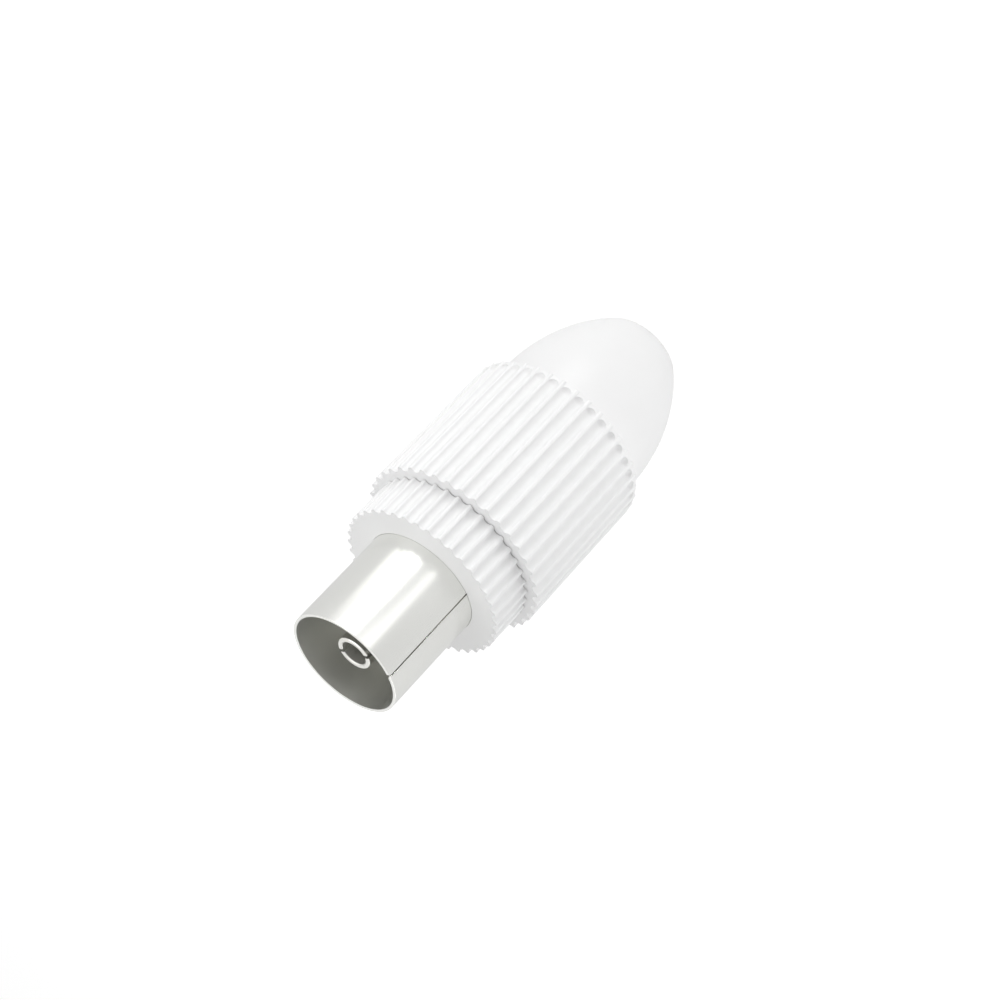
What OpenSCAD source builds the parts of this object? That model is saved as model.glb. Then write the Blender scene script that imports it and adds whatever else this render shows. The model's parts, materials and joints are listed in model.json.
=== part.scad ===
// Aerial line socket for a coaxial cable, 9.5 mm interface, screw-on cap.
// Stands on the cable end of its cap. +Z runs along the axis to the socket mouth, and the
// origin is the middle of the ring that it stands on. Millimetres throughout.

/* [Socket mouth] */
// Bore of the outer contact, which the plug's sleeve enters
mouth_bore_d = 9.58; // [9.3:0.01:9.8]
// Thickness of the rolled sheet
sheet_t = 0.25; // [0.2:0.01:0.4]
// Length of the sleeve that stands out of the flange
sleeve_len = 9.75; // [8:0.05:14]
// Width of the butt seam in the rolled sleeve
seam_w = 0.15; // [0.06:0.01:0.3]
// Size of the nick in the rim at the seam
seam_nick = 0.35; // [0.15:0.05:0.6]
// Width of the lip turned out at the sleeve's hidden end
lip_w = 0.5; // [0.3:0.02:0.7]

/* [Centre contact] */
// Bore of the slotted contact, which the plug's pin enters
pin_bore_d = 2.3; // [2.2:0.02:2.6]
// Depth of that bore
pin_bore_depth = 7; // [5:0.1:9]
// Wall of the slotted contact
contact_wall = 0.44; // [0.3:0.02:0.6]
// Depth of the contact's tip below the mouth
contact_recess = 1.15; // [0.5:0.05:2]
// Width of the two slots
slot_w = 0.3; // [0.15:0.01:0.4]
// Length of the two slots
slot_len = 6.2; // [4:0.1:8]
// Bevel at the contact's mouth, inside and out
contact_bevel = 0.08; // [0.05:0.01:0.2]
// Diameter of the wire barrel
barrel_d = 4.2; // [3.8:0.1:5]
// Length of the wire barrel
barrel_len = 9.5; // [8:0.1:10.5]
// Hole for the cable's inner wire
wire_hole_d = 1.3; // [0.9:0.05:1.5]
// Depth of that hole
wire_hole_depth = 6; // [4:0.1:7]

/* [Terminal screw] */
// Thread diameter
screw_d = 2; // [1.6:0.1:2.5]
// Length under the head
screw_len = 2.2; // [1.9:0.1:2.6]
// Head diameter
screw_head_d = 3.2; // [2.8:0.1:3.8]
// Head height
screw_head_h = 1.1; // [0.8:0.1:1.3]
// Width of the driver slot
driver_slot_w = 0.5; // [0.3:0.05:0.8]
// Depth of the driver slot
driver_slot_depth = 0.55; // [0.3:0.05:0.7]
// Distance of the screw's axis from the barrel's end
screw_inset = 2.1; // [1.8:0.1:3]

/* [Insulator] */
// Length of the plug that holds the contact in the sleeve
insulator_len = 8; // [6:0.1:9.5]
// Bevel round its front edge
insulator_bevel = 0.3; // [0.1:0.05:0.6]

/* [Front body] */
// Length of the knurled flange
flange_len = 4.1; // [3:0.1:6]
// Height of the flange above the cap's threaded bore
flange_step = 0.55; // [0.4:0.05:1]
// Depth of the flange's flutes
flange_flute = 0.38; // [0.2:0.01:0.42]
// Length of the threaded neck behind the flange
neck_len = 7; // [6:0.1:8]
// Wall of the neck below its thread
neck_wall = 0.7; // [0.5:0.05:1]
// Drop from the flange's back to the shoulder that the lip sits on
shoulder_drop = 1.9; // [1:0.1:3]
// Bevel at the neck's end
neck_bevel = 0.3; // [0.1:0.05:0.5]

/* [Thread] */
// Height of the thread on the neck
thread_h = 0.4; // [0.3:0.05:0.6]
// Room between the thread's crest and the cap
thread_gap = 0.2; // [0.1:0.02:0.4]

/* [Cap] */
// Length of the knurled grip
grip_len = 13.9; // [12.5:0.1:18]
// Depth of the grip's flutes
grip_flute = 0.46; // [0.2:0.01:0.5]
// Wall of the grip, under the flutes
grip_wall = 1.04; // [0.8:0.01:1.6]
// Width of the smooth rim at the grip's tail end
end_rim_w = 0.3; // [0.15:0.05:0.6]
// Height of the ridges above that rim
end_rim_drop = 0.1; // [0.09:0.01:0.14]
// Bevel at the mouth of the cap's bore
cap_bevel = 0.15; // [0.1:0.01:0.45]
// Length of the smooth tail
tail_len = 12.2; // [10:0.05:16]
// Straight part of the tail, next to the grip
tail_straight = 2; // [0.5:0.1:4]
// Step from the bottom of the flutes down to the tail
tail_step = 0.71; // [0.3:0.01:1]
// Hole for the cable
cable_hole_d = 6.8; // [5:0.1:7.4]
// Straight part of the cable hole
entry_len = 3; // [1.5:0.1:4]
// Width of the flat ring at the cable end
end_ring_w = 0.4; // [0.3:0.05:1]

/* [Knurl] */
// Number of ridges round the flange and the grip
ridges = 40; // [36:2:44]
// Radius of each ridge's rounded crest
crest_r = 0.22; // [0.15:0.01:0.28]

/* [Braid clamp] */
// Thickness of the clamp's sheet
clamp_t = 0.4; // [0.3:0.05:0.5]
// Number of fingers
fingers = 6; // [4:1:8]
// Width of the gaps between them
finger_gap = 0.9; // [0.5:0.1:1.4]
// Step of the cap's cone outside the neck's bore
cone_step = 0.35; // [0.2:0.05:0.6]
// Distance of the finger ends from the straight part of the cable hole
finger_stop = 4; // [2:0.1:6]
// Height of the claw inside each finger's end
claw_h = 0.2; // [0.1:0.02:0.25]

/* [Clearances] */
// Gap between pieces pressed together
press_gap = 0.02; // [0.01:0.005:0.05]
// Gap round pieces that turn in one another
run_gap = 0.08; // [0.05:0.01:0.1]
// Gap round the terminal screw
screw_gap = 0.05; // [0.02:0.01:0.1]
// Gap between end faces of pieces that move apart
seat_gap = 0.05; // [0.02:0.01:0.2]
// Gap between the clamp and the cap's cone
cone_gap = 0.15; // [0.1:0.01:0.3]

/* [Hidden] */
$fn = 96;

// Sides that stand for a circle in the knurl and in the tail's long arc
knurl_fn = 48;
tail_fn = 360;
// Extra length of a cut past the face that it opens
over = 1;
// Overlap of the rounded crests with the flutes beside them
crest_lap = 0.01;
// Run of the grip's rim past the ball ends of the flutes, under the crests
rim_lap = 0.1;
// Angle from the middle of a flute to the next crest
half_pitch = 180 / ridges;

// Heights, from the cable end up
cap_front_z = tail_len + grip_len;
flange_back_z = cap_front_z + seat_gap;
flange_front_z = flange_back_z + flange_len;
mouth_z = flange_front_z + sleeve_len;
neck_end_z = flange_back_z - neck_len;
shoulder_z = flange_back_z - shoulder_drop;
sleeve_end_z = shoulder_z - sheet_t;
collar_top_z = neck_end_z - seat_gap;
collar_z = collar_top_z - clamp_t;
cone_top_z = collar_z - seat_gap;
finger_end_z = entry_len + finger_stop;
barrel_end_z = sleeve_end_z - barrel_len;
screw_z = barrel_end_z + screw_inset;
contact_tip_z = mouth_z - contact_recess;

// Radii, from the mouth's bore outwards
mouth_r = mouth_bore_d / 2;
sleeve_r = mouth_r + sheet_t;
lip_r = sleeve_r + lip_w;
neck_bore_r = lip_r + run_gap;
neck_r = neck_bore_r + neck_wall;
thread_r = neck_r + thread_h;
cap_bore_r = thread_r + thread_gap;
flange_r = cap_bore_r + flange_step;
grip_r = cap_bore_r + grip_wall + grip_flute;
tail_r = grip_r - grip_flute - tail_step;
cable_r = cable_hole_d / 2;
tail_end_r = cable_r + end_ring_w;
pin_r = pin_bore_d / 2;
contact_r = pin_r + contact_wall;
barrel_r = barrel_d / 2;
wire_r = wire_hole_d / 2;

// Arc of the tail's outline, tangent to its straight part and ending at the flat ring
nose_len = tail_len - tail_straight;
nose_drop = tail_r - tail_end_r;
nose_arc_r = (nose_len * nose_len + nose_drop * nose_drop) / (2 * nose_drop);

// Cone inside the cap that squeezes the clamp's fingers
cone_top_r = neck_bore_r + cone_step;
cone_slope = (cone_top_r - cable_r) / (cone_top_z - entry_len);

// Radius of the cap's cone at a height
function cone_r(z) = cable_r + (z - entry_len) * cone_slope;

// Radius of the outside of the clamp's fingers at a height
function finger_r(z) = cone_r(z) - cone_gap;

// Radius of the flutes of this depth that run into the rounded crests on either side
function flute_r(r, depth) =
    let (across = (r - crest_r) * sin(half_pitch),
         rise = (r - crest_r) * cos(half_pitch) - r + depth,
         reach = crest_r - crest_lap)
    (across * across + rise * rise - reach * reach) / (2 * (rise + reach));

// Distance from the axis at which a flute runs into a crest
function meet_r(r, depth) =
    let (crest = (r - crest_r) * [sin(half_pitch), cos(half_pitch)],
         flute = [0, r - depth + flute_r(r, depth)])
    norm(crest + (flute - crest) * crest_r / (crest_r + flute_r(r, depth)));

// Solid of revolution whose outline is the child
module turned() {
    rotate_extrude() children();
}

// Straight tube or ring between two heights
module ring(r_in, r_out, z0, z1) {
    turned() translate([r_in, z0]) square([r_out - r_in, z1 - z0]);
}

// Upright round cutter with a ball end at the bottom
module ball_cutter(r, len) {
    turned() {
        intersection() {
            square([r, r]);
            translate([0, r]) circle(r = r, $fn = knurl_fn);
        }
        translate([0, r]) square([r, len - r]);
    }
}

// Knurled drum between two heights: flutes from flute_z up, one in line with the seam, and round crests
// between them. The flutes cut the children too.
module knurled_drum(r, depth, z0, z1, flute_z) {
    cutter_r = flute_r(r, depth);
    long = z1 - z0 + 2 * over;
    intersection() {
        union() {
            difference() {
                union() {
                    translate([0, 0, z0 - over]) cylinder(r = meet_r(r, depth), h = long);
                    children();
                }
                for (i = [0 : ridges - 1])
                    rotate(half_pitch * 2 * i - 90)
                        translate([r - depth + cutter_r, 0, flute_z]) ball_cutter(cutter_r, long);
            }
            for (i = [0 : ridges - 1])
                rotate(half_pitch * (2 * i + 1) - 90)
                    translate([r - crest_r, 0, z0 - over]) cylinder(r = crest_r, h = long, $fn = knurl_fn);
        }
        translate([0, 0, z0]) cylinder(r = r + over, h = z1 - z0);
    }
}

// Outline of the smooth tail
module tail_outline() {
    intersection() {
        square([tail_r, nose_len]);
        translate([tail_r - nose_arc_r, nose_len]) circle(r = nose_arc_r, $fn = tail_fn);
    }
    translate([0, nose_len]) square([tail_r, tail_straight]);
}

// Outline of the hollow inside the cap: cable hole, cone and threaded bore
module cap_hollow_outline() {
    bevel_r = cap_bore_r + cap_bevel;
    polygon([[0, -over], [cable_r, -over], [cable_r, entry_len],
             [cone_top_r, cone_top_z], [cap_bore_r, cone_top_z], [cap_bore_r, cap_front_z - cap_bevel],
             [bevel_r, cap_front_z], [bevel_r, cap_front_z + over], [0, cap_front_z + over]]);
}

// Screw-on cap: knurled grip, with a smooth rim at its tail end, and smooth tail in one moulding
module cap() {
    rim_top_z = tail_len + end_rim_w + flute_r(grip_r, grip_flute) + rim_lap;
    color("whitesmoke") difference() {
        union() {
            turned() tail_outline();
            knurled_drum(grip_r, grip_flute, tail_len, cap_front_z, tail_len + end_rim_w)
                ring(tail_r, grip_r - end_rim_drop, tail_len - over, rim_top_z);
        }
        turned() cap_hollow_outline();
    }
}

// Outline of the neck, run on through the flange
module neck_outline() {
    polygon([[0, neck_end_z], [neck_r - neck_bevel, neck_end_z], [neck_r, neck_end_z + neck_bevel],
             [neck_r, flange_front_z], [0, flange_front_z]]);
}

// Front body: knurled flange with the neck that the cap screws on
module front_body() {
    color("white") difference() {
        union() {
            knurled_drum(flange_r, flange_flute, flange_back_z, flange_front_z, flange_back_z - over);
            turned() neck_outline();
        }
        translate([0, 0, neck_end_z - over])
            cylinder(r = sleeve_r + press_gap, h = flange_front_z - neck_end_z + 2 * over);
        translate([0, 0, neck_end_z - over]) cylinder(r = neck_bore_r, h = shoulder_z - neck_end_z + over);
    }
}

// Outer contact: sheet rolled into a sleeve with a butt seam, its hidden end turned out to a lip
module outer_contact() {
    color("silver") difference() {
        union() {
            ring(mouth_r, sleeve_r, sleeve_end_z, mouth_z);
            ring(mouth_r, lip_r, sleeve_end_z, shoulder_z);
        }
        translate([-seam_w / 2, -lip_r - over, sleeve_end_z - over])
            cube([seam_w, lip_r + over, mouth_z - sleeve_end_z + 2 * over]);
        translate([0, 0, mouth_z]) rotate([90, 0, 0]) linear_extrude(lip_r + over)
            polygon([[-seam_nick / 2, 0], [0, -seam_nick], [seam_nick / 2, 0], [0, seam_nick]]);
    }
}

// Insulator: plug pressed into the sleeve from behind
module insulator() {
    plug_r = mouth_r - press_gap;
    bore_r = contact_r + press_gap;
    front_z = sleeve_end_z + insulator_len;
    color("ivory") turned()
        polygon([[bore_r, sleeve_end_z], [plug_r, sleeve_end_z], [plug_r, front_z - insulator_bevel],
                 [plug_r - insulator_bevel, front_z], [bore_r, front_z]]);
}

// Turned form of the centre contact: wire hole and barrel at the back, pin bore at the tip
module contact_outline() {
    bevel_z = contact_tip_z - contact_bevel;
    wire_end_z = barrel_end_z + wire_hole_depth;
    pin_end_z = contact_tip_z - pin_bore_depth;
    polygon([[0, wire_end_z], [wire_r, wire_end_z], [wire_r, barrel_end_z], [barrel_r, barrel_end_z],
             [barrel_r, sleeve_end_z], [contact_r, sleeve_end_z], [contact_r, bevel_z],
             [contact_r - contact_bevel, contact_tip_z], [pin_r + contact_bevel, contact_tip_z],
             [pin_r, bevel_z], [pin_r, pin_end_z], [0, pin_end_z]]);
}

// Centre contact: slotted spring tube at the front, wire barrel with its screw hole at the back
module centre_contact() {
    color("gainsboro") difference() {
        turned() contact_outline();
        translate([-slot_w / 2, -contact_r - over, contact_tip_z - slot_len])
            cube([slot_w, 2 * (contact_r + over), slot_len + over]);
        translate([0, 0, screw_z]) rotate([0, 90, 0])
            cylinder(r = screw_d / 2 + screw_gap, h = barrel_r + over);
    }
}

// Terminal screw: cheese head with a driver slot, its tip level with the wire hole's wall
module terminal_screw() {
    color("darkgray") translate([wire_r, 0, screw_z]) rotate([0, 90, 0]) difference() {
        union() {
            cylinder(r = screw_d / 2, h = screw_len);
            translate([0, 0, screw_len]) cylinder(r = screw_head_d / 2, h = screw_head_h);
        }
        translate([-driver_slot_w / 2, -screw_head_d, screw_len + screw_head_h - driver_slot_depth])
            cube([driver_slot_w, 2 * screw_head_d, driver_slot_depth + over]);
    }
}

// Outline of one clamp finger: sloping sheet with a claw at its end
module finger_outline() {
    claw_top_z = finger_end_z + 2 * claw_h;
    polygon([[finger_r(collar_top_z), collar_top_z],
             [finger_r(finger_end_z), finger_end_z],
             [finger_r(finger_end_z) - clamp_t - claw_h, finger_end_z],
             [finger_r(claw_top_z) - clamp_t, claw_top_z],
             [finger_r(collar_top_z) - clamp_t, collar_top_z]]);
}

// Braid clamp: springy sheet cone whose fingers the cap squeezes on the cable's braid.
// Its front tube reaches up to the sleeve's lip and its collar sits under the neck.
module braid_clamp() {
    color("lightsteelblue") difference() {
        union() {
            ring(lip_r - clamp_t, lip_r, collar_z, sleeve_end_z - seat_gap);
            ring(lip_r - clamp_t, neck_r, collar_z, collar_top_z);
            turned() finger_outline();
        }
        for (i = [0 : fingers - 1])
            rotate(360 * i / fingers)
                translate([0, -finger_gap / 2, finger_end_z - over])
                    cube([cap_bore_r, finger_gap, collar_z - finger_end_z]);
    }
}

cap();
front_body();
outer_contact();
insulator();
centre_contact();
terminal_screw();
braid_clamp();
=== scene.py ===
import json
import math

import bpy
from mathutils import Matrix, Vector


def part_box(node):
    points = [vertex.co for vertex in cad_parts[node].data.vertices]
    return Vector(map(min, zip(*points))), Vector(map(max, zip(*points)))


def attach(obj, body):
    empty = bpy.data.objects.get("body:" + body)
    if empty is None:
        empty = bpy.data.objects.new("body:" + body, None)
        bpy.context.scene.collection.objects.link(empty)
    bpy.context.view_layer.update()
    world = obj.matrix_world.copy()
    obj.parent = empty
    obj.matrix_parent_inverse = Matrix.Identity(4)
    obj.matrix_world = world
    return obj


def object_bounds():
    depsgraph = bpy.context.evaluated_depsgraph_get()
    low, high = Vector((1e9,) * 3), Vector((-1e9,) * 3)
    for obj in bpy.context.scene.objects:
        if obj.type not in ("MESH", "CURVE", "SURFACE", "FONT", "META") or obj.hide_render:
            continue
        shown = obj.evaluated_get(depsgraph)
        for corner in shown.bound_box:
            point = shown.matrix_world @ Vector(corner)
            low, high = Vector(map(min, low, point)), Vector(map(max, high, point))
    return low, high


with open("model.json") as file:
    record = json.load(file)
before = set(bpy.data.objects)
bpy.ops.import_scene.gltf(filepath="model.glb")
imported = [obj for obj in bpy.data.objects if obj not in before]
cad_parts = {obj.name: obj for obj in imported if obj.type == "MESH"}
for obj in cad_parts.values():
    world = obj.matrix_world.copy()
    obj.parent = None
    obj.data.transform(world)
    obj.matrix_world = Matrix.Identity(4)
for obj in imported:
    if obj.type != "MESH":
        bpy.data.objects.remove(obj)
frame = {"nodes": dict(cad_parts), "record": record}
cad_low, cad_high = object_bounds()
nodes = frame["nodes"]
MM = 0.001

# The photo's view of the socket, which stands on its cable end with the mouth up
VIEW_AZIMUTH = 39.93
VIEW_ELEVATION = 30.01
VIEW_ROLL = -136.72
VIEW_DISTANCE = 206.15 * MM
VIEW_AIM = Vector((-0.07, -0.06, 19.76)) * MM
LENS = 91.0
SENSOR = 36.0
CLIP_START = 5 * MM

# Threads: steps in a turn, the share of a turn in which an end runs out, the share of the height
# that is left at the very end, and the angle in degrees from which an edge is sharp
THREAD_STEPS = 72
THREAD_RUN_OUT = 0.2
THREAD_END_HEIGHT = 0.02
THREAD_SHARP = 25

# Thread sections in mm: radius at the foot and at the crest, width at the foot and at the crest
NECK_SECTION = (6.28, 6.7, 0.72, 0.3)
CAP_SECTION = (6.96, 6.46, 0.6, 0.2)
SCREW_SECTION = (0.97, 1.04, 0.3, 0.06)

# Distance of the threads from the neck's end, the cap's front and the screw's tip, and the length and
# pitch of the screw's thread. The neck's and the cap's pitch comes from the record.
NECK_THREAD_INSET = 0.45 * MM
CAP_THREAD_INSET = 0.7 * MM
SCREW_THREAD_INSET = 0.2 * MM
SCREW_THREAD_LENGTH = 1.8 * MM
SCREW_PITCH = 0.4 * MM

# Bores that are rougher than the rest of their piece, with painted shade that darkens their colour: the
# radius that takes them in, and the width over which the roughness and the painted shade fade out towards
# it
SLEEVE_BORE_R = 4.95 * MM
SLEEVE_BORE_FADE = 0.12 * MM
CONTACT_BORE_R = 1.3 * MM
CONTACT_BORE_FADE = 0.1 * MM

FLOOR_RADIUS = 2.0
FLOOR_COLOUR = (0.9, 0.9, 0.9, 1)
WORLD_LIGHT = 0.542

# Cards that lie on the floor and shine up: name, azimuth of one edge, side of that edge, nearest and
# furthest reach and width in mm, radiance
CARD_HEIGHT = 0.5 * MM
FLOOR_CARDS = (
    ("card_a", 118, -1, 46, 78, 45, 0.6),
    ("card_b", 60, 1, 46, 78, 45, 0.65),
    ("card_c", 27, 1, 46, 78, 17, 0.49),
    ("far_card_a", 26, 1, 80, 130, 48, 0.87),
    ("far_card_b", 66, 1, 80, 130, 48, 0.38),
    ("near_card_a", -20, 1, 24, 44, 24, 1.23),
    ("near_card_b", 20, 1, 24, 44, 24, 0.41),
)

# Round panel on the floor under the socket
TABLE_HEIGHT = 0.05 * MM
TABLE_DIAMETER = 80 * MM
TABLE_RADIANCE = 0.047

# Panels aimed at the socket: name, azimuth, elevation, width and height in metres, radiance. The last
# two stand under the floor.
PANEL_DISTANCE = 0.25
PANELS = (
    ("key", 90, 4, 0.134, 0.08, 1.35),
    ("key_wide", 85, 10, 0.15, 0.15, 0.62),
    ("key_high", 110, 35, 0.11, 0.12, 1.07),
    ("fill", -60, 8, 0.25, 0.2, 1.44),
    ("over", 100, 68, 0.2, 0.2, 0.97),
    ("under", 60, -40, 0.12, 0.1, 3.2),
    ("sheen", 80, -28, 0.11, 0.1, 3.0),
)


def direction(azimuth, elevation):
    """Unit vector from the object towards a viewer or lamp; azimuth 0 stands at -Y, 90 at +X."""
    a, e = math.radians(azimuth), math.radians(elevation)
    return Vector((math.sin(a) * math.cos(e), -math.cos(a) * math.cos(e), math.sin(e)))


def look_at(place, aim, roll=0.0):
    """World matrix of a camera or lamp at place that looks at aim."""
    turn = (aim - place).to_track_quat("-Z", "Y").to_matrix().to_4x4()
    return Matrix.Translation(place) @ turn @ Matrix.Rotation(math.radians(roll), 4, "Z")


def make_camera():
    data = bpy.data.cameras.new("camera")
    data.lens = LENS
    data.sensor_width = SENSOR
    data.clip_start = CLIP_START
    camera = bpy.data.objects.new("camera", data)
    bpy.context.scene.collection.objects.link(camera)
    place = VIEW_AIM + direction(VIEW_AZIMUTH, VIEW_ELEVATION) * VIEW_DISTANCE
    camera.matrix_world = look_at(place, VIEW_AIM, VIEW_ROLL)
    bpy.context.scene.camera = camera


def new_material(name):
    material = bpy.data.materials.new(name)
    material.use_nodes = True
    tree = material.node_tree
    return material, tree, tree.nodes["Principled BSDF"]


def noise(tree, scale, detail=3.0):
    """Noise over the object's own coordinates, scale in repeats per metre."""
    place = tree.nodes.new("ShaderNodeTexCoord")
    texture = tree.nodes.new("ShaderNodeTexNoise")
    texture.inputs["Scale"].default_value = scale
    texture.inputs["Detail"].default_value = detail
    tree.links.new(place.outputs["Object"], texture.inputs["Vector"])
    return texture.outputs["Fac"]


def spread(tree, value, low, high):
    """Maps a 0 to 1 value on the range from low to high."""
    node = tree.nodes.new("ShaderNodeMapRange")
    node.inputs["To Min"].default_value = low
    node.inputs["To Max"].default_value = high
    tree.links.new(value, node.inputs["Value"])
    return node.outputs["Result"]


def two_tones(tree, value, dark, light):
    """Colour between two tones, by a 0 to 1 value."""
    node = tree.nodes.new("ShaderNodeMix")
    node.data_type = "RGBA"
    node.inputs["A"].default_value = (*dark, 1)
    node.inputs["B"].default_value = (*light, 1)
    tree.links.new(value, node.inputs["Factor"])
    return node.outputs["Result"]


def round_edges(tree, radius):
    """Normal that rolls over edges, as on a moulding or a pressed sheet."""
    node = tree.nodes.new("ShaderNodeBevel")
    node.samples = 8
    node.inputs["Radius"].default_value = radius
    return node.outputs["Normal"]


def bump(tree, shader, value, height, edge_radius):
    node = tree.nodes.new("ShaderNodeBump")
    node.inputs["Strength"].default_value = 1.0
    node.inputs["Distance"].default_value = height
    tree.links.new(value, node.inputs["Height"])
    tree.links.new(round_edges(tree, edge_radius), node.inputs["Normal"])
    tree.links.new(node.outputs["Normal"], shader.inputs["Normal"])


def moulded_plastic(name, dark, light, rough_low, rough_high):
    """Satin moulded plastic: faint flow marks in its tone, uneven gloss and a fine skin."""
    material, tree, shader = new_material(name)
    flow_marks = noise(tree, scale=160)
    tree.links.new(two_tones(tree, flow_marks, dark, light), shader.inputs["Base Color"])
    gloss = noise(tree, scale=900)
    tree.links.new(spread(tree, gloss, rough_low, rough_high), shader.inputs["Roughness"])
    shader.inputs["IOR"].default_value = 1.5
    skin = noise(tree, scale=9000)
    bump(tree, shader, skin, height=0.002 * MM, edge_radius=0.08 * MM)
    return material


def plated_metal(name, dark, light, rough_low, rough_high):
    """Bright plate on metal: slightly uneven tone and polish, and faint unevenness in its surface."""
    material, tree, shader = new_material(name)
    shader.inputs["Metallic"].default_value = 1.0
    tone = noise(tree, scale=250)
    tree.links.new(two_tones(tree, tone, dark, light), shader.inputs["Base Color"])
    polish = noise(tree, scale=1200)
    tree.links.new(spread(tree, polish, rough_low, rough_high), shader.inputs["Roughness"])
    surface = noise(tree, scale=5000)
    bump(tree, shader, surface, height=0.0006 * MM, edge_radius=0.05 * MM)
    return material


def near_axis(tree, radius, fade):
    """1 near a turned piece's axis and 0 from this radius on."""
    place = tree.nodes.new("ShaderNodeTexCoord")
    flatten = tree.nodes.new("ShaderNodeVectorMath")
    flatten.operation = "MULTIPLY"
    flatten.inputs[1].default_value = (1, 1, 0)
    tree.links.new(place.outputs["Object"], flatten.inputs[0])
    distance = tree.nodes.new("ShaderNodeVectorMath")
    distance.operation = "LENGTH"
    tree.links.new(flatten.outputs["Vector"], distance.inputs[0])
    inside = tree.nodes.new("ShaderNodeMapRange")
    inside.inputs["From Min"].default_value = radius - fade
    inside.inputs["From Max"].default_value = radius
    inside.inputs["To Min"].default_value = 1.0
    inside.inputs["To Max"].default_value = 0.0
    tree.links.new(distance.outputs["Value"], inside.inputs["Value"])
    return inside.outputs["Result"]


def dull_bore_with_painted_shade(material, radius, fade, added, tone):
    """Adds roughness to a turned piece in its bore, which isn't polished, and multiplies its colour there
    by tone, which paints shade into the recess.
    """
    tree = material.node_tree
    shader = tree.nodes["Principled BSDF"]
    inside = near_axis(tree, radius, fade)
    rough = shader.inputs["Roughness"]
    total = tree.nodes.new("ShaderNodeMath")
    total.operation = "ADD"
    tree.links.new(rough.links[0].from_socket, total.inputs[0])
    tree.links.new(spread(tree, inside, 0.0, added), total.inputs[1])
    tree.links.new(total.outputs["Value"], rough)
    # Painted shade: the colour in the bore is multiplied by tone, so the bore is darker than the rest of
    # the piece
    colour = shader.inputs["Base Color"]
    shade = tree.nodes.new("ShaderNodeMix")
    shade.data_type = "RGBA"
    shade.blend_type = "MULTIPLY"
    shade.inputs["B"].default_value = (tone, tone, tone, 1)
    tree.links.new(inside, shade.inputs["Factor"])
    tree.links.new(colour.links[0].from_socket, shade.inputs["A"])
    tree.links.new(shade.outputs["Result"], colour)


def thread_section(foot_r, crest_r, foot_w, crest_w):
    """Corners of a thread's section as radius and height, from sizes in mm: sunk foot and narrow crest."""
    corners = [(foot_r, -foot_w / 2), (crest_r, -crest_w / 2), (crest_r, crest_w / 2), (foot_r, foot_w / 2)]
    return [(radius * MM, rise * MM) for radius, rise in corners]


def make_thread(name, body, material, section, pitch, length, matrix):
    """Right-hand thread ridge along local Z, which runs out at both ends into what carries it."""
    turns = length / pitch
    steps = round(turns * THREAD_STEPS)
    foot_r = section[0][0]
    corners, faces = [], []
    for step in range(steps + 1):
        turn = step / THREAD_STEPS
        run_out = min(1.0, turn / THREAD_RUN_OUT, (turns - turn) / THREAD_RUN_OUT)
        height = max(THREAD_END_HEIGHT, run_out)
        angle = 2 * math.pi * turn
        for radius, rise in section:
            r = foot_r + (radius - foot_r) * height
            corners.append((r * math.cos(angle), r * math.sin(angle), pitch * turn + rise * height))
    sides = len(section)
    for step in range(steps):
        first = step * sides
        for side in range(sides):
            after = (side + 1) % sides
            faces.append((first + side, first + sides + side, first + sides + after, first + after))
    faces.append(tuple(range(sides)))
    faces.append(tuple(reversed(range(steps * sides, (steps + 1) * sides))))
    mesh = bpy.data.meshes.new(name)
    mesh.from_pydata(corners, [], faces)
    mesh.transform(matrix)
    # On an inside thread the crest lies nearer the axis, which turns the faces over
    if section[1][0] < foot_r:
        mesh.flip_normals()
    mesh.shade_smooth()
    mesh.set_sharp_from_angle(angle=math.radians(THREAD_SHARP))
    mesh.materials.append(material)
    thread = bpy.data.objects.new(name, mesh)
    bpy.context.scene.collection.objects.link(thread)
    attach(thread, body)


def background_light(tree, plain, reflected, seen):
    """Strength of a background: plain where it lights things, reflected in gloss or through something
    clear, and seen by the camera. Plain is a number or a node's output."""
    rays = tree.nodes.new("ShaderNodeLightPath")
    value = plain
    for kind, strength in (("Is Glossy Ray", reflected), ("Is Transmission Ray", reflected),
                           ("Is Camera Ray", seen)):
        node = tree.nodes.new("ShaderNodeMix")
        if isinstance(value, float):
            node.inputs["A"].default_value = value
        else:
            tree.links.new(value, node.inputs["A"])
        node.inputs["B"].default_value = strength
        tree.links.new(rays.outputs[kind], node.inputs["Factor"])
        value = node.outputs["Result"]
    return value


def make_floor(glow, reflected, seen):
    bpy.ops.mesh.primitive_circle_add(vertices=96, radius=FLOOR_RADIUS, fill_type="NGON")
    floor = bpy.context.object
    floor.name = "floor"
    material, tree, shader = new_material("pale_floor")
    shader.inputs["Base Color"].default_value = FLOOR_COLOUR
    shader.inputs["Roughness"].default_value = 0.9
    shader.inputs["Specular IOR Level"].default_value = 0.0
    shader.inputs["Emission Color"].default_value = (1, 1, 1, 1)
    tree.links.new(background_light(tree, glow, reflected, seen), shader.inputs["Emission Strength"])
    floor.data.materials.append(material)
    # The floor is a light table, which lets the lamps under it shine through
    floor.visible_shadow = False


def make_world(level):
    world = bpy.data.worlds.new("studio")
    world.use_nodes = True
    tree = world.node_tree
    sky = tree.nodes["Background"]
    sky.inputs["Color"].default_value = (1, 1, 1, 1)
    # No plain light comes from below the horizon, where the floor is
    place = tree.nodes.new("ShaderNodeTexCoord")
    axes = tree.nodes.new("ShaderNodeSeparateXYZ")
    tree.links.new(place.outputs["Generated"], axes.inputs["Vector"])
    above = tree.nodes.new("ShaderNodeMath")
    above.operation = "GREATER_THAN"
    above.inputs[1].default_value = 0.0
    tree.links.new(axes.outputs["Z"], above.inputs[0])
    plain = spread(tree, above.outputs["Value"], 0.0, level)
    tree.links.new(background_light(tree, plain, 1.0, 1.0), sky.inputs["Strength"])
    bpy.context.scene.world = world


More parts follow.
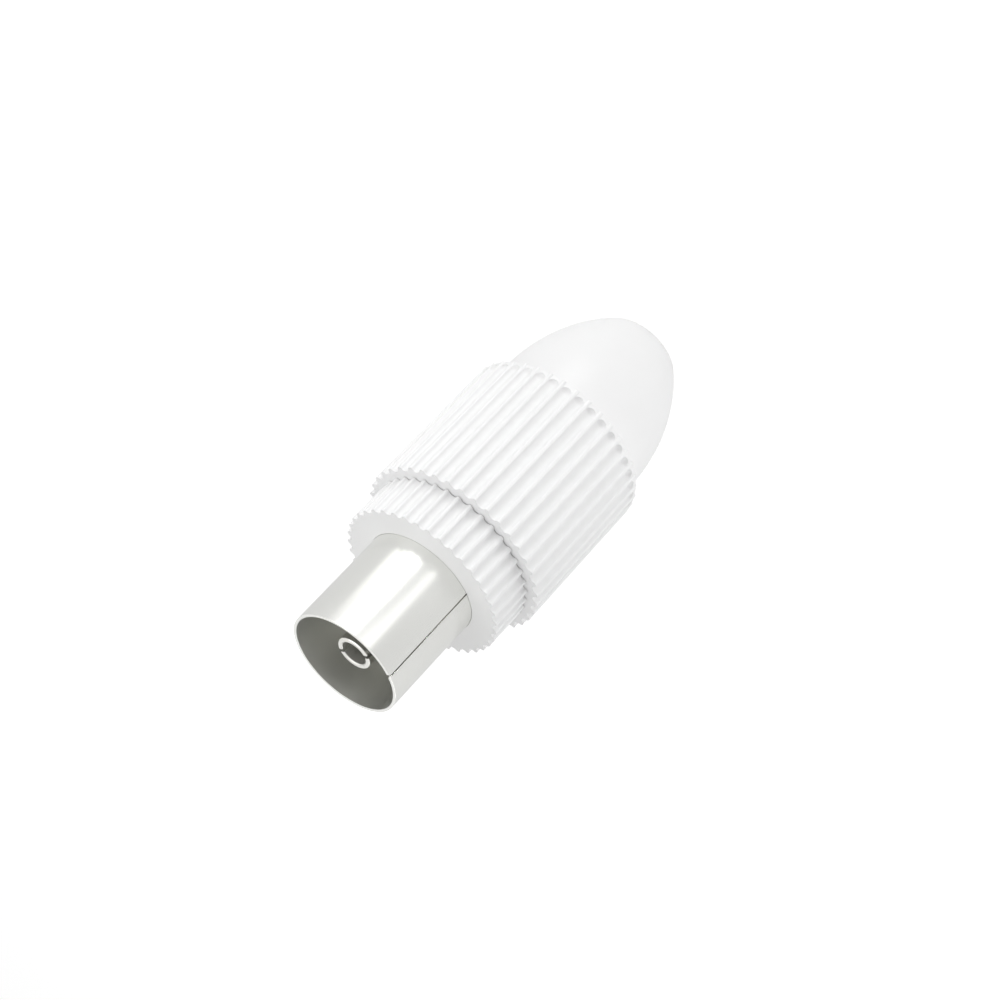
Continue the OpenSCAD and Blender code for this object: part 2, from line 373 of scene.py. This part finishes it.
def make_lamp(name, shape, matrix, width, height, radiance):
    """Soft lamp panel that the camera doesn't see; radiance 1 is as bright as a white card."""
    data = bpy.data.lights.new(name, "AREA")
    data.shape = shape
    data.size = width
    data.size_y = height
    area = width * height if shape == "RECTANGLE" else math.pi * width * height / 4
    data.energy = radiance * math.pi * area
    lamp = bpy.data.objects.new(name, data)
    bpy.context.scene.collection.objects.link(lamp)
    lamp.matrix_world = matrix
    lamp.visible_camera = False
    return lamp


def standing_lamp(name, azimuth, elevation, width, height, radiance):
    """Panel aimed at the socket's middle."""
    aim = (cad_low + cad_high) / 2
    matrix = look_at(aim + direction(azimuth, elevation) * PANEL_DISTANCE, aim)
    return make_lamp(name, "RECTANGLE", matrix, width, height, radiance)


def low_lamp(name, azimuth, side, near, far, width, radiance):
    """Panel that lies on the floor and shines up. One edge points at the axis along azimuth, and the
    panel reaches width to the given side of that edge, from near to far."""
    along = direction(azimuth, 0)
    across = direction(azimuth + 90, 0) * side
    middle = along * (near + far) / 2 + across * width / 2 + Vector((0, 0, CARD_HEIGHT))
    turn = Matrix.Rotation(math.atan2(along.y, along.x), 4, "Z") @ Matrix.Rotation(math.pi, 4, "X")
    make_lamp(name, "RECTANGLE", Matrix.Translation(middle) @ turn, far - near, width, radiance)


def table_lamp(name, diameter, radiance):
    """Round panel on the floor round the socket's axis that shines up."""
    matrix = Matrix.Translation((0, 0, TABLE_HEIGHT)) @ Matrix.Rotation(math.pi, 4, "X")
    make_lamp(name, "ELLIPSE", matrix, diameter, diameter, radiance)


# Finishes: dark and light tone, and lowest and highest roughness
WHITE_MOULDING = ((0.87, 0.87, 0.87), (0.9, 0.9, 0.9), 0.32, 0.42)
white = moulded_plastic("white_plastic", *WHITE_MOULDING)
body_white = moulded_plastic("body_plastic", *WHITE_MOULDING)
natural = moulded_plastic("insulator_plastic", (0.84, 0.83, 0.78), (0.88, 0.87, 0.82), 0.4, 0.5)
nickel = plated_metal("nickel_plate", (0.82, 0.823, 0.795), (0.86, 0.863, 0.835), 0.21, 0.26)
# The sleeve's and the contact's bores are rougher and get painted shade, a darker colour inside
dull_bore_with_painted_shade(nickel, SLEEVE_BORE_R, SLEEVE_BORE_FADE, added=0.16, tone=0.91)
contact = plated_metal("contact_plate", (0.74, 0.735, 0.7), (0.8, 0.795, 0.76), 0.2, 0.28)
dull_bore_with_painted_shade(contact, CONTACT_BORE_R, CONTACT_BORE_FADE, added=0.22, tone=0.92)
steel = plated_metal("zinc_steel", (0.62, 0.62, 0.64), (0.7, 0.7, 0.71), 0.22, 0.32)
spring = plated_metal("clamp_plate", (0.72, 0.72, 0.7), (0.8, 0.8, 0.78), 0.2, 0.3)

FINISH = {
    "cap": white,
    "front_body": body_white,
    "outer_contact": nickel,
    "insulator": natural,
    "centre_contact": contact,
    "terminal_screw": steel,
    "braid_clamp": spring,
}
for name, material in FINISH.items():
    nodes[name].data.materials.clear()
    nodes[name].data.materials.append(material)

# The cap's thread runs half a pitch from the neck's, so that the two mesh
cap_pitch = frame["record"]["behaviour"]["couplings"][0]["ratio"] * 2 * math.pi
neck_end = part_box("front_body")[0].z
cap_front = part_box("cap")[1].z
thread_start = neck_end + NECK_THREAD_INSET
thread_length = cap_front - CAP_THREAD_INSET - thread_start
make_thread("neck_thread", "front", body_white,
            thread_section(*NECK_SECTION), cap_pitch, thread_length,
            Matrix.Translation((0, 0, thread_start)))
make_thread("cap_thread", "cap", white,
            thread_section(*CAP_SECTION), cap_pitch, thread_length,
            Matrix.Translation((0, 0, thread_start)) @ Matrix.Rotation(math.pi, 4, "Z"))
screw_low, screw_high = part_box("terminal_screw")
screw_middle = (screw_low.z + screw_high.z) / 2
screw_start = screw_low.x + SCREW_THREAD_INSET
make_thread("screw_thread", "screw", steel,
            thread_section(*SCREW_SECTION), SCREW_PITCH, SCREW_THREAD_LENGTH,
            Matrix.Translation((screw_start, 0, screw_middle)) @ Matrix.Rotation(math.pi / 2, 4, "Y"))

make_camera()
make_floor(glow=0.055, reflected=0.075, seen=0.45)
make_world(WORLD_LIGHT)
for name, azimuth, side, near, far, width, radiance in FLOOR_CARDS:
    low_lamp(name, azimuth, side, near * MM, far * MM, width * MM, radiance)
table_lamp("table", TABLE_DIAMETER, TABLE_RADIANCE)
panels = {panel[0]: standing_lamp(*panel) for panel in PANELS}
# Of the two lamps under the floor, one gives plain light alone and the other gloss alone. Reflected
# rays stop at the floor, so the gloss is sampled by shadow rays alone, which pass through it.
panels["under"].visible_glossy = False
panels["sheen"].visible_diffuse = False
panels["sheen"].data.cycles.use_multiple_importance_sampling = False
bpy.context.scene.view_settings.view_transform = "Standard"
